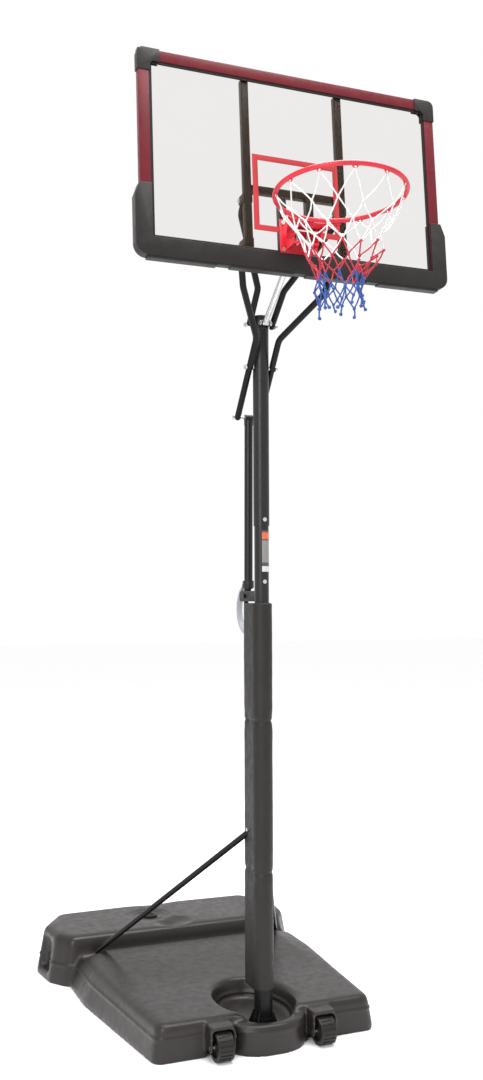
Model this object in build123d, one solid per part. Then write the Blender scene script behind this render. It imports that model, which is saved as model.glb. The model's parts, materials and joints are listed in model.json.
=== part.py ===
from build123d import *
import math
import os

# Portable basketball hoop. Millimetres, +Z up, origin on the floor under the pole's axis.
# The player stands on the -Y side, and +X is to the player's right, facing the board.

# ---------------------------------------------------------------- driving dimensions
RIM_Z = 3050.0              # rim height at the face of the board, with the board fully up
BOARD_Y = -356.0            # face of the panel at rim height
BOARD_TILT = 4.41           # the top of the board leans back by this many degrees

BOARD_W = 1213.0            # outside width of the board's frame
RAIL = 41.0                 # face width of a frame rail
WINDOW_BOTTOM = -90.0       # heights on the board, from the rim's plane
WINDOW_TOP = 572.0
PANEL_T = 4.0
RAIL_FRONT = -7.0           # a rail's front and back faces, from the face of the panel
RAIL_BACK = 19.0
BAR = 28.0                  # square tubes behind the panel
BAR_X = 192.0

RAIL_WALL = 1.2             # rails are folded from thin sheet
GROOVE = 14.0               # how deep the panel sits in the rails
BAR_WALL = 2.0
BAR_FRONT = PANEL_T + 0.5
BAR_BACK = BAR_FRONT + BAR
CROSS_Z = 136.0             # foot of the cross bar
POST_X = 56.0               # posts that carry the rim's mounting plate

SHEET = 3.0                 # steel plate of the brackets
MOUNT_PLATE_X, MOUNT_PLATE_TOP, MOUNT_PLATE_BOTTOM = 75.0, 40.0, -89.0
MOUNT_HOLE_X = 62.0
MOUNT_HOLES_Z = (28.0, -74.0)
BOX_X = 50.0                # half width of the rim's mounting box
BOX_TOP, BOX_BOTTOM, BOX_FRONT = -14.0, -72.0, -68.0
RIM_PIVOT = (-75.0, -24.0)  # rim hinge, depth and height on the board
HINGE_R = 5.0
FLANGE_Z = (-13.5, -8.5)
SPRING_X, SPRING_Y = 22.0, -34.0
SPRING_R = 9.0
SPRING_Z = (-54.0, -17.3)

HOOKS = 12
NET_LENGTH, NET_TOP_R, NET_WAIST_R, NET_FOOT_R = 400.0, 214.0, 112.0, 84.0

TUBE_END_Z = 1740.0         # foot of the height adjuster's tube
HANDLE_Y, HANDLE_Z, HANDLE_R = 137.6, 1659.0, 97.4
TRIGGER_PIVOT = (161.0, 1735.0)

RING_R = 225.6              # centre line of the ring
RING_TUBE = 17.0
RING_OFF = 347.0            # ring centre from the face of the panel

POLE_R = 31.5               # upper pole section
MID_POLE_R = 28.5
LOW_POLE_R = 35.0
POLE_TOP = 2815.0
POLE_SEAM = 1987.0          # foot of the upper section
POLE_FOOT_Z = 60.0
TUBE_WALL = 2.5

PIVOT_LOW_Z = 2615.0        # pole pivots of the two pairs of arms
PIVOT_GAP = 170.0           # vertical spacing of the pivots, the same at the board
ARM_RUN = 300.0             # pole pivot to board pivot, forward
ARM_RISE = 375.0            # pole pivot to board pivot, upward
ARM_X = 48.0                # arms beside the pole
ARM_R = 12.5
BOLT_R = 5.0
FIT = 0.05                  # radial clearance of a running fit

TAIL_Y, TAIL_Z = 128.0, -180.0      # tail end of the lower arms, from their pivot
LIFT_FOOT_Y, LIFT_FOOT_Z = 137.0, 1712.0
LIFT_TUBE_R = 17.0
LIFT_ROD_R = 11.0

COUNTER_Y = -48.0           # pivot of the counterbalance tube, in front of the pole
COUNTER_R = 11.5

PAD_Z = (200.0, 1684.0)
STRUT_Z = 800.0
STRUT_R = 11.5
STRUT_FOOT = (430.0, 868.0, 148.0)
TROUGH_Y, TROUGH_R = 868.0, 34.0

WHEEL_X, WHEEL_Y, WHEEL_R, WHEEL_W = 208.0, -98.0, 52.0, 62.0
AXLE_R = 6.0

TANK_WALL = 4.0
TANK_FRONT_H = 138.0
TANK_REAR_H = 208.0
BOWL_X, BOWL_Y = 138.0, 195.0    # half sizes of the bowl round the pole's foot
TANK_SHIFT = -35.0          # the raised rear end sits a little to the left
CAP_X, CAP_Y, CAP_R = -105.0, 1130.0, 36.0

BOARD = Location((0, BOARD_Y, RIM_Z), (-BOARD_TILT, 0, 0))
OUT_X = BOARD_W / 2
WINDOW_X = OUT_X - RAIL
OUT_TOP = WINDOW_TOP + RAIL
OUT_BOTTOM = WINDOW_BOTTOM - RAIL


# ---------------------------------------------------------------- helpers
def block(x0, x1, y0, y1, z0, z1):
    """A box between two corners."""
    return Pos((x0 + x1) / 2, (y0 + y1) / 2, (z0 + z1) / 2) * Box(x1 - x0, y1 - y0, z1 - z0)


def rod(start, end, radius):
    """A round bar between two points."""
    a, b = Vector(start), Vector(end)
    return Plane(origin=a, z_dir=b - a) * Cylinder(
        radius, (b - a).length, align=(Align.CENTER, Align.CENTER, Align.MIN))


def tube(start, end, outer, inner):
    """A round tube between two points."""
    return rod(start, end, outer) - rod(start, end, inner)


def bent_tube(points, bend, outer, wall):
    """A round tube along straight runs joined by tangent arcs."""
    path = FilletPolyline(*points, radius=bend)
    section = Plane(origin=points[0], z_dir=path % 0)
    skin = sweep(section * Circle(outer), path=path)
    return skin - sweep(section * Circle(outer - wall), path=path)


def hexagon(start, end, radius):
    """A hexagonal nut or head between two points on an axis along X."""
    a, b = Vector(start), Vector(end)
    return extrude(Plane(origin=a, z_dir=b - a) * RegularPolygon(radius, 6), (b - a).length)


def cross_bolt(y, z, x_head, x_nut, radius=BOLT_R, washer_r=11.0):
    """A bolt along X: head at x_head, washer and nut at x_nut."""
    side = 1 if x_nut > x_head else -1
    shank = rod((x_head, y, z), (x_nut + side * 9, y, z), radius)
    head = hexagon((x_head - side * 7, y, z), (x_head, y, z), 9.0)
    washers = rod((x_nut, y, z), (x_nut + side * 2, y, z), washer_r)
    nut = hexagon((x_nut + side * 2, y, z), (x_nut + side * 9, y, z), 9.0)
    return shank + head + washers + nut


def group(*solids):
    """Separate solids that share one node."""
    flat = []
    for item in solids:
        flat.extend(item.solids())
    return Compound(children=flat)


def polygon(points):
    """A flat closed outline on the XY plane."""
    return make_face(Polyline(*points, close=True))


# ---------------------------------------------------------------- base tank
def front_outline(spread):
    """Outline of the tank's front section, wider at the foot by spread."""
    return [(-440 - spread, -50 - spread / 3), (440 + spread, -50 - spread / 3),
            (500 + spread * 3, 640), (500 + spread * 3, 925),
            (-500 - spread * 3, 925), (-500 - spread * 3, 640)]


def rear_outline(spread):
    """Outline of the raised rear end, with its corners cut."""
    points = [(-500, 905), (500, 905), (555, 985), (575, 1150), (470, 1325), (120, 1335),
              (0, 1312), (-120, 1335), (-470, 1325), (-575, 1150), (-555, 985)]
    grow = 1 + spread / 560
    return [(TANK_SHIFT + x * grow, 1120 + (y - 1120) * grow) for x, y in points]


def section(points, corner_r, inset, z):
    """One level of a moulded block: an outline with round corners, shrunk by inset."""
    face = fillet(polygon(points).vertices(), corner_r)
    if inset:
        face = offset(face, amount=-inset, kind=Kind.ARC)
    return Pos(0, 0, z) * face.face()


def drafted(low, high, z1, corner_r, edge_r, inset):
    """A block with sloping sides and a rounded shoulder, shrunk by inset on every side."""
    turn = 1 - math.cos(math.radians(45))
    levels = [section(low, corner_r, inset + 5, inset),
              section(low, corner_r, inset, inset + 9),
              section(high, corner_r, inset, z1 - edge_r - inset),
              section(high, corner_r, inset + edge_r * turn, z1 - edge_r * turn - inset),
              section(high, corner_r, inset + edge_r, z1 - inset)]
    return loft(levels, ruled=True)


def tank_body(inset):
    """The tank's outer form, or its cavity when inset is the wall."""
    body = drafted(front_outline(16), front_outline(0), TANK_FRONT_H, 40, 22, inset)
    body += drafted(rear_outline(30), rear_outline(0), TANK_REAR_H, 34, 26, inset)
    nose = Pos(0, -40, inset) * extrude(Ellipse(150 - inset, 92 - inset), 112 - 2 * inset)
    body += nose
    # trough across the tank in front of the raised end
    body -= Pos(0, TROUGH_Y, 150) * Rot(0, 90, 0) * Cylinder(TROUGH_R + inset, 1400)
    # bowl round the pole's foot
    bowl = extrude(Ellipse(BOWL_X + inset, BOWL_Y + inset), 200, taper=-14)
    bowl = Pos(8, 120, POLE_FOOT_Z - inset) * bowl
    body -= bowl
    for side in (-1, 1):
        # wheel arches under a moulded hood
        arch = block(side * WHEEL_X - 41 - inset, side * WHEEL_X + 41 + inset, -300, -28 + inset,
                     -20, 108 + inset)
        body -= arch
    # shallow dish and the seat of the filler cap
    body -= Pos(-75, 975, TANK_REAR_H + 118 - inset) * Sphere(130)
    body -= Pos(CAP_X, CAP_Y, TANK_REAR_H - 9 - inset) * Cylinder(
        92 + inset, 60, align=(Align.CENTER, Align.CENTER, Align.MIN))
    # finger recess in each side of the raised end
    for side in (-1, 1):
        body -= block(TANK_SHIFT + side * 640 - 84 - inset, TANK_SHIFT + side * 640 + 84 + inset,
                      1015 - inset, 1125 + inset, 34 - inset, 172 + inset)
    return body


def wheel_hoods():
    """Lips that stand over the wheels, moulded with the tank."""
    lips = []
    for side in (-1, 1):
        lip = block(side * WHEEL_X - 47, side * WHEEL_X + 47, -112, -20, 110, 126)
        lips.append(fillet(lip.edges().filter_by(Axis.Z).sort_by(Axis.Y)[:2], 18))
    return lips


def make_tank():
    tank = tank_body(0) - tank_body(TANK_WALL)
    for lip in wheel_hoods():
        tank += lip
    for side in (-1, 1):
        # axle bosses: the axle runs through both cheeks of the arch
        for edge in (-41, 41):
            x0 = side * WHEEL_X + edge
            out = 9 if edge > 0 else -9
            ear = block(min(x0, x0 + out), max(x0, x0 + out), -116, -30, 34, 112)
            tank += fillet(ear.edges().filter_by(Axis.X).sort_by(Axis.Y)[:2], 14)
        tank -= rod((side * WHEEL_X - 50, WHEEL_Y, WHEEL_R), (side * WHEEL_X + 50, WHEEL_Y, WHEEL_R), AXLE_R)
    tank -= Pos(CAP_X, CAP_Y, TANK_REAR_H) * Cylinder(29, 60)
    return tank


def make_fill_cap():
    seat = TANK_REAR_H - 9
    cap = Pos(CAP_X, CAP_Y, seat + 0.4) * Cylinder(CAP_R, 9, align=(Align.CENTER, Align.CENTER, Align.MIN))
    plug = Pos(CAP_X, CAP_Y, seat - 18) * Cylinder(28.5, 19, align=(Align.CENTER, Align.CENTER, Align.MIN))
    well = Pos(CAP_X, CAP_Y, seat + 3) * Cylinder(25, 20, align=(Align.CENTER, Align.CENTER, Align.MIN))
    bar = block(CAP_X - 24.5, CAP_X + 24.5, CAP_Y - 4, CAP_Y + 4, seat + 2, seat + 9)
    return cap + plug - well + bar


def make_wheel(side):
    """Moulded wheel with a ribbed tread."""
    centre = Pos(side * WHEEL_X, WHEEL_Y, WHEEL_R) * Rot(0, 90, 0)
    wheel = centre * Cylinder(WHEEL_R, WHEEL_W)
    groove_count, groove_w = 20, 6.0
    for i in range(groove_count):
        cut = Rot(0, 0, i * 360 / groove_count) * Pos(WHEEL_R, 0, 0) * Box(5, groove_w, WHEEL_W - 14)
        wheel -= centre * cut
    for end in (-1, 1):
        dish = centre * Pos(0, 0, end * WHEEL_W / 2) * (Cylinder(38, 16) - Cylinder(15, 16))
        wheel -= dish
    return wheel - centre * Cylinder(AXLE_R + FIT, WHEEL_W + 2)


def make_wheel_axles():
    pins = []
    for side in (-1, 1):
        x = side * WHEEL_X
        pins.append(rod((x - 50, WHEEL_Y, WHEEL_R), (x + 50, WHEEL_Y, WHEEL_R), AXLE_R))
    return group(*pins)


# ---------------------------------------------------------------- pole
def make_pole_foot():
    """Socket plate with triangular fins, bolted in the bowl."""
    z = POLE_FOOT_Z
    foot = Pos(0, 0, z) * Cylinder(66, 5, align=(Align.CENTER, Align.CENTER, Align.MIN))
    foot += tube((0, 0, z), (0, 0, z + 42), LOW_POLE_R + 4, LOW_POLE_R)
    for angle in (45, 135, 225, 315):
        side_view = [(LOW_POLE_R + 1, 5), (63, 5), (63, 12), (LOW_POLE_R + 6, 62), (LOW_POLE_R + 1, 62)]
        fin = Plane.XZ * polygon(side_view)
        fin = Pos(0, 0, z) * Rot(0, 0, angle) * extrude(fin, 2, both=True)
        foot += fin
    foot -= rod((0, 0, z + 5), (0, 0, z + 90), LOW_POLE_R)
    for angle in (0, 90, 180, 270):
        foot -= Pos(0, 0, z) * Rot(0, 0, angle) * Pos(53, 0, 0) * Cylinder(5, 30)
    return foot


def make_foot_bolts():
    bolts = []
    for angle in (0, 90, 180, 270):
        place = Pos(0, 0, POLE_FOOT_Z) * Rot(0, 0, angle) * Pos(53, 0, 5)
        bolts.append(place * extrude(RegularPolygon(8, 6), 5.5))
    return group(*bolts)


def make_lower_pole():
    """Lower section, its top end swaged in to hold the middle section."""
    z0, z1 = POLE_FOOT_Z + 5, 900
    inner = LOW_POLE_R - TUBE_WALL
    neck_out, neck_in = MID_POLE_R + TUBE_WALL, MID_POLE_R
    pole = tube((0, 0, z0), (0, 0, z1 - 150), LOW_POLE_R, inner)
    cone = Pos(0, 0, z1 - 140) * (
        Cone(LOW_POLE_R, neck_out, 20) - Cone(inner, neck_in, 20))
    return pole + cone + tube((0, 0, z1 - 130), (0, 0, z1), neck_out, neck_in)


def make_middle_pole():
    pole = tube((0, 0, 770), (0, 0, POLE_SEAM + 150), MID_POLE_R, MID_POLE_R - TUBE_WALL)
    for z in (POLE_SEAM + 23, 1767):
        pole -= rod((0, -60, z), (0, 60, z), 4)
    return pole


def make_upper_pole():
    """Upper section with the lug for the counterbalance tube welded in front."""
    pole = tube((0, 0, POLE_SEAM), (0, 0, POLE_TOP), POLE_R, MID_POLE_R)
    upper = PIVOT_LOW_Z + PIVOT_GAP
    for side in (-1, 1):
        x0, x1 = sorted((side * 14, side * 17))
        ear = block(x0, x1, COUNTER_Y - 10, -24, upper - 12, upper + 12)
        ear = fillet(ear.edges().filter_by(Axis.X).sort_by(Axis.Y)[:2], 9)
        pole += ear
    pole -= rod((0, 0, POLE_SEAM - 1), (0, 0, POLE_TOP + 1), MID_POLE_R)
    for z in (PIVOT_LOW_Z, upper):
        pole -= rod((-60, 0, z), (60, 0, z), BOLT_R)
    pole -= rod((-60, COUNTER_Y, upper), (60, COUNTER_Y, upper), 4)
    return pole - rod((0, -60, POLE_SEAM + 23), (0, 60, POLE_SEAM + 23), 4)


def make_pole_cap():
    cap = Pos(0, 0, POLE_TOP) * Cylinder(POLE_R + 2, 7, align=(Align.CENTER, Align.CENTER, Align.MIN))
    cap = fillet(cap.edges().sort_by(Axis.Z)[-1], 5)
    skirt = tube((0, 0, POLE_TOP - 16), (0, 0, POLE_TOP + 1), MID_POLE_R, MID_POLE_R - 3)
    return cap + skirt


def make_pole_bolts():
    """Round-headed bolts that lock the pole sections, and the one at the lift bracket."""
    bolts = []
    for z, radius in ((POLE_SEAM + 23, POLE_R), (1767, MID_POLE_R)):
        bolt = rod((0, -radius - 1, z), (0, radius + 8, z), 4)
        head = Cylinder(8, 3.4, align=(Align.CENTER, Align.CENTER, Align.MIN))
        bolt += Pos(0, -radius - 0.6, z) * Rot(90, 0, 0) * head
        seat = radius + 0.6 if z > POLE_SEAM else 32
        bolt += rod((0, radius, z), (0, seat + 8, z), 4)
        bolt += Plane(origin=(0, seat, z), z_dir=(0, 1, 0)) * extrude(RegularPolygon(7.5, 6), 6)
        bolts.append(bolt)
    return group(*bolts)


def make_pivot_bolts():
    """The two long bolts through the pole that the arms turn on, with their spacers."""
    reach = ARM_X + ARM_R + 1.5
    bolts = []
    for z in (PIVOT_LOW_Z, PIVOT_LOW_Z + PIVOT_GAP):
        bolt = cross_bolt(0, z, -reach - 2, reach)
        bolt += rod((-reach - 2, 0, z), (-reach, 0, z), 11)
        for side in (-1, 1):
            bolt += rod((side * (POLE_R + 0.3), 0, z), (side * (ARM_X - ARM_R - 0.4), 0, z), 9)
        bolts.append(bolt)
    upper = PIVOT_LOW_Z + PIVOT_GAP
    bolts.append(cross_bolt(COUNTER_Y, upper, -17, 17, 4, 8))
    return group(*bolts)


def make_height_label():
    """Plain sticker bent round the front of the pole."""
    z0, z1 = 1806, 1967
    ring = tube((0, 0, z0), (0, 0, z1), MID_POLE_R + 0.4, MID_POLE_R)
    wedge = Plane.XY.offset(z0 - 1) * polygon([(0, 0), (-14, -40), (45, -40), (45, 5)])
    return ring & extrude(wedge, z1 - z0 + 2)


# ---------------------------------------------------------------- pole pad and struts
def make_pole_pad():
    """Foam sleeve: round in front, drawn out to the back, with a hole for the pole."""
    z0, z1 = PAD_Z
    front_r, back_r, back_y = 41.0, 39.0, 86.0
    pad = rod((0, 0, z0), (0, 0, z1), front_r) + rod((0, back_y, z0), (0, back_y, z1), back_r)
    sides = polygon([(-front_r, 0), (front_r, 0), (back_r, back_y), (-back_r, back_y)])
    pad += Pos(0, 0, z0) * extrude(sides, z1 - z0)
    for radius, low, high in ((LOW_POLE_R + 0.4, z0 - 1, 905), (MID_POLE_R + 0.4, 905, z1 + 1)):
        pad -= rod((0, 0, low), (0, 0, high), radius)
    # room for the strut collar, its bolt and the ends of the struts
    pad -= rod((0, 0, STRUT_Z - 24), (0, 0, STRUT_Z + 24), LOW_POLE_R + 3.5)
    pad -= block(-60, 60, 30, 76, STRUT_Z - 24, STRUT_Z + 24)
    for side in (-1, 1):
        pad -= rod(strut_point(side, 0), strut_point(side, 0.4), STRUT_R + 1.5)
    return pad


def strut_point(side, t):
    """A point on a strut's axis, 0 at the pole and 1 at the foot."""
    top = Vector(side * 24, 52, STRUT_Z)
    foot = Vector(side * STRUT_FOOT[0], STRUT_FOOT[1], STRUT_FOOT[2])
    return top + (foot - top) * t


def make_strut(side):
    """Tube from the pole's collar down to a foot plate in the tank's trough."""
    strut = rod(strut_point(side, 0), strut_point(side, 1), STRUT_R)
    strut -= rod(strut_point(side, 0.02), strut_point(side, 0.98), STRUT_R - 2)
    x, y, z = side * STRUT_FOOT[0], STRUT_FOOT[1], STRUT_FOOT[2]
    plate_z = 120.3
    strut += block(x - 28, x + 48, y - 15, y + 15, plate_z, plate_z + 4)
    strut += block(x - 3, x + 3, y - 15, y + 12, plate_z, z)
    strut -= rod((-60, 52, STRUT_Z), (60, 52, STRUT_Z), 4)
    return strut


def make_strut_collar():
    collar = tube((0, 0, STRUT_Z - 22), (0, 0, STRUT_Z + 22), LOW_POLE_R + 3, LOW_POLE_R)
    lug = block(-11, 11, LOW_POLE_R + 1, 62, STRUT_Z - 18, STRUT_Z + 18)
    return collar + lug - rod((-20, 52, STRUT_Z), (20, 52, STRUT_Z), 4)


def make_strut_bolts():
    """The bolt at the collar and two in each foot plate."""
    reach = 47
    bolts = [rod((-reach, 52, STRUT_Z), (reach, 52, STRUT_Z), 4)
             + hexagon((-reach, 52, STRUT_Z), (5 - reach, 52, STRUT_Z), 7)
             + hexagon((reach - 5, 52, STRUT_Z), (reach, 52, STRUT_Z), 7)]
    for side in (-1, 1):
        for dx in (-18, 38):
            place = Pos(side * STRUT_FOOT[0] + dx, STRUT_FOOT[1], 124.3)
            bolts.append(place * extrude(RegularPolygon(8, 6), 5))
    return group(*bolts)


# ---------------------------------------------------------------- arms
def arm_points(side, low):
    """Bends of an arm from its rear end to the board, as the lower or the upper pair."""
    z = PIVOT_LOW_Z if low else PIVOT_LOW_Z + PIVOT_GAP
    end = (side * BAR_X, -ARM_RUN, z + ARM_RISE)
    last = (side * BAR_X, -ARM_RUN + 30, z + ARM_RISE - 38)
    if low:
        along = 0.56
        knee = (side * ARM_X, -TAIL_Y * along, z - TAIL_Z * along)
        return [(side * ARM_X, TAIL_Y, z + TAIL_Z), knee, (side * 165, -222, z + 250), last, end]
    return [(side * ARM_X, 0, z), (side * 55, -105, z + 117), last, end]


def make_arm(side, low):
    """Bent tube drilled for its bolts, its ends closed round them."""
    points = arm_points(side, low)
    arm = bent_tube(points, 60, ARM_R, 2)
    pivots = [points[0], points[-1]]
    for pivot in pivots:
        arm += Pos(*pivot) * Sphere(ARM_R)
    if low:
        middle = (side * ARM_X, 0, PIVOT_LOW_Z)
        arm += rod((middle[0] - ARM_R + 0.5, 0, middle[2]), (middle[0] + ARM_R - 0.5, 0, middle[2]), 8)
        pivots.append(middle)
    for x, y, z in pivots:
        arm -= rod((x - 20, y, z), (x + 20, y, z), BOLT_R + FIT)
    return arm


def make_tail_bolt():
    """Bolt through the tails of the lower arms and the head of the lift tube."""
    y, z = TAIL_Y, PIVOT_LOW_Z + TAIL_Z
    reach = ARM_X + ARM_R + 1
    return cross_bolt(y, z, -reach, reach, BOLT_R, 10)


# ---------------------------------------------------------------- board
def board_local(y, z):
    """World y and z as depth and height on the leaning board."""
    tilt = math.radians(BOARD_TILT)
    dy, dz = y - BOARD_Y, z - RIM_Z
    return dy * math.cos(tilt) - dz * math.sin(tilt), dy * math.sin(tilt) + dz * math.cos(tilt)


LOW_PIVOT = board_local(-ARM_RUN, PIVOT_LOW_Z + ARM_RISE)
HIGH_PIVOT = board_local(-ARM_RUN, PIVOT_LOW_Z + PIVOT_GAP + ARM_RISE)


def make_board_panel():
    """Clear sheet held in the grooves of the rails, drilled for the rim's mount."""
    g = GROOVE - 1
    sheet = block(-WINDOW_X - g, WINDOW_X + g, 0, PANEL_T, WINDOW_BOTTOM - g, WINDOW_TOP + g)
    for x in (-MOUNT_HOLE_X, MOUNT_HOLE_X):
        for z in MOUNT_HOLES_Z:
            sheet -= rod((x, -1, z), (x, PANEL_T + 1, z), 4)
    return BOARD * sheet


def rail(length):
    """Hollow rail along X, centred, its outer edge at z=0 and its grooved edge at z=RAIL."""
    bar = block(-length / 2, length / 2, RAIL_FRONT, RAIL_BACK, 0, RAIL)
    end = length / 2 - RAIL_WALL
    bar -= block(-end, end, RAIL_FRONT + RAIL_WALL, RAIL_BACK - RAIL_WALL,
                 RAIL_WALL, RAIL - GROOVE - RAIL_WALL)
    return bar - block(-length / 2 - 1, length / 2 + 1, 0, PANEL_T, RAIL - GROOVE, RAIL + 1)


def make_top_rail():
    top = Pos(0, 0, OUT_TOP) * mirror(rail(BOARD_W), Plane.XY)
    return BOARD * top


def make_bottom_rail():
    return BOARD * Pos(0, 0, OUT_BOTTOM) * rail(BOARD_W - 2 * RAIL)


def make_side_rail(side):
    length = WINDOW_TOP - OUT_BOTTOM
    upright = Rot(0, side * -90, 0) * rail(length)
    upright = Pos(side * OUT_X, 0, OUT_BOTTOM + length / 2) * upright
    return BOARD * upright - make_board_panel()


def make_corner_cap(side):
    """Moulded cap over a top corner of the frame."""
    leg, lip, skin = 84, 4, 3
    face = polygon([(0, 0), (leg, 0), (leg, -RAIL - lip - skin), (RAIL + lip + skin + 10, -RAIL - lip - skin),
                    (RAIL + lip + skin, -RAIL - lip - skin - 10), (RAIL + lip + skin, -leg), (0, -leg)])
    corner = face.vertices().sort_by_distance((0, 0, 0))[0]
    face = fillet(corner, 24)
    cap = extrude(Plane.XZ * face, RAIL_BACK - RAIL_FRONT + 2 * skin)
    cap = Pos(0, RAIL_BACK + skin, 0) * cap
    cap -= block(skin, leg + 1, RAIL_FRONT, RAIL_BACK, -leg - 1, -skin)
    cap = Pos(-OUT_X - skin, 0, OUT_TOP + skin) * cap
    if side > 0:
        cap = mirror(cap, Plane.YZ)
    return BOARD * cap


def make_bottom_pad():
    """Moulded edge guard that wraps the bottom of the board and its lower corners."""
    out_x, foot, top = 628, -158, 82
    front, back = -15, 27
    face = polygon([(-out_x, foot), (out_x, foot), (out_x, top - 24), (OUT_X + 4, top + 24), (WINDOW_X, top + 24),
                    (WINDOW_X, WINDOW_BOTTOM), (-WINDOW_X, WINDOW_BOTTOM), (-WINDOW_X, top + 24),
                    (-OUT_X - 4, top + 24), (-out_x, top - 24)])
    low = face.vertices().sort_by(Axis.Y)[:2]
    face = fillet(low, 46)
    pad = Pos(0, back, 0) * extrude(Plane.XZ * face, back - front)
    pad -= block(-OUT_X, OUT_X, RAIL_FRONT, RAIL_BACK, OUT_BOTTOM, OUT_TOP)
    pad -= block(-WINDOW_X + 8, WINDOW_X - 8, RAIL_BACK, back + 1, OUT_BOTTOM + 3, OUT_TOP)
    lip = block(-585, 585, front + 5, back - 5, foot - 9, foot)
    for x in (-300, 0, 300):
        lip -= block(x - 26, x + 26, front, back, foot - 10, foot - 4)
    return BOARD * (pad + lip)


def make_bar(side):
    x0, x1 = side * BAR_X - BAR / 2, side * BAR_X + BAR / 2
    bar = block(x0, x1, BAR_FRONT, BAR_BACK, WINDOW_BOTTOM, WINDOW_TOP)
    bar -= block(x0 + BAR_WALL, x1 - BAR_WALL, BAR_FRONT + BAR_WALL, BAR_BACK - BAR_WALL,
                 WINDOW_BOTTOM + BAR_WALL, WINDOW_TOP - BAR_WALL)
    return BOARD * bar


def make_cross_bar():
    inner = BAR_X - BAR / 2
    bar = block(-inner, inner, BAR_FRONT, BAR_BACK, CROSS_Z, CROSS_Z + BAR)
    bar -= block(-inner + BAR_WALL, inner - BAR_WALL, BAR_FRONT + BAR_WALL, BAR_BACK - BAR_WALL,
                 CROSS_Z + BAR_WALL, CROSS_Z + BAR - BAR_WALL)
    return BOARD * bar


def make_lower_cross_bar():
    """Tube across the back of the bottom rail."""
    reach, depth = 206, 25
    y0, z0 = RAIL_BACK + 0.2, -126
    bar = block(-reach, reach, y0, y0 + depth, z0, z0 + BAR)
    return BOARD * (bar - block(-reach + 2, reach - 2, y0 + 2, y0 + depth - 2, z0 + 2, z0 + BAR - 2))


def make_post(side):
    """Short post that carries the rim's mounting plate."""
    x = side * POST_X
    post = block(x - 14, x + 14, BAR_FRONT, BAR_BACK, WINDOW_BOTTOM, CROSS_Z)
    post -= block(x - 12, x + 12, BAR_FRONT + 2, BAR_BACK - 2, WINDOW_BOTTOM + 2, CROSS_Z - 2)
    for z in MOUNT_HOLES_Z:
        post -= rod((side * MOUNT_HOLE_X, -20, z), (side * MOUNT_HOLE_X, BAR_BACK + 1, z), 4)
    return BOARD * post


def make_pivot_plates():
    """Pairs of plates on the bars that hold the ends of the arms."""
    plates = []
    for side in (-1, 1):
        for y, z in (LOW_PIVOT, HIGH_PIVOT):
            for edge in (-1, 1):
                x0 = side * BAR_X + edge * BAR / 2
                x1 = x0 + edge * 3
                plate = block(min(x0, x1), max(x0, x1), BAR_FRONT + 2, y + 14, z - 17, z + 17)
                plate = fillet(plate.edges().filter_by(Axis.X).sort_by(Axis.Y)[-2:], 13)
                plates.append(BOARD * (plate - rod((x0 - 9, y, z), (x0 + 9, y, z), BOLT_R)))
    return group(*plates)


def make_board_bolts():
    """The bolts that the arms turn on behind the board, heads outward."""
    bolts = []
    for side in (-1, 1):
        for y, z in (LOW_PIVOT, HIGH_PIVOT):
            half = BAR / 2 + 3
            bolt = cross_bolt(y, z, half, -half, BOLT_R, 9)
            for edge in (-1, 1):
                bolt += rod((edge * (BAR / 2), y, z), (edge * (ARM_R + 0.4), y, z), 9)
            if side < 0:
                bolt = mirror(bolt, Plane.YZ)
            bolts.append(BOARD * Pos(side * BAR_X, 0, 0) * bolt)
    return group(*bolts)


def make_shooter_square():
    """Painted aiming rectangle on the face of the panel."""
    x, low, high, stripe = 175, -10, 282, 22
    mark = block(-x, x, -0.5, 0, low, high)
    mark -= block(-x + stripe, x - stripe, -2, 2, low + stripe, high - stripe)
    return BOARD * (mark - block(-MOUNT_PLATE_X, MOUNT_PLATE_X, -2, 2, -200, MOUNT_PLATE_TOP))


# ---------------------------------------------------------------- rim


def make_rim_mount():
    """Back plate with the open-fronted box that the rim's flange rests on."""
    mount = block(-MOUNT_PLATE_X, MOUNT_PLATE_X, -5, 0, MOUNT_PLATE_BOTTOM, MOUNT_PLATE_TOP)
    mount += block(-BOX_X, BOX_X, BOX_FRONT, -5, BOX_TOP - SHEET, BOX_TOP)
    py, pz = RIM_PIVOT
    for side in (-1, 1):
        x0, x1 = sorted((side * (BOX_X - SHEET), side * BOX_X))
        cheek = block(x0, x1, BOX_FRONT, -5, BOX_BOTTOM, BOX_TOP)
        cheek += block(x0, x1, py, BOX_FRONT + 1, pz - 20, pz + 8) + rod((x0, py, pz), (x1, py, pz), 9)
        mount += cheek
        mount -= Pos(side * SPRING_X, SPRING_Y, BOX_TOP) * Cylinder(7, 20)
    mount += block(-BOX_X, BOX_X, BOX_FRONT, BOX_FRONT + SHEET, BOX_BOTTOM, BOX_BOTTOM + 10)
    mount -= rod((-60, py, pz), (60, py, pz), HINGE_R + FIT)
    for x in (-MOUNT_HOLE_X, MOUNT_HOLE_X):
        for z in MOUNT_HOLES_Z:
            mount -= rod((x, -10, z), (x, 1, z), 4)
    return BOARD * mount


def make_mount_bolts():
    bolts = []
    for x in (-MOUNT_HOLE_X, MOUNT_HOLE_X):
        for z in MOUNT_HOLES_Z:
            bolt = rod((x, -6, z), (x, BAR_BACK + 7, z), 4)
            bolt += rod((x, -8.5, z), (x, -5, z), 8)
            bolt += Plane(origin=(x, BAR_BACK, z), z_dir=(0, 1, 0)) * extrude(RegularPolygon(7, 6), 6)
            bolts.append(BOARD * bolt)
    return group(*bolts)


def make_breakaway_springs():
    springs = []
    for side in (-1, 1):
        x = side * SPRING_X
        springs.append(BOARD * tube((x, SPRING_Y, SPRING_Z[0]), (x, SPRING_Y, SPRING_Z[1]), SPRING_R, 5.5))
    return group(*springs)


def make_rim_ring():
    return BOARD * Pos(0, -RING_OFF, 0) * Torus(RING_R, RING_TUBE / 2)


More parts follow.
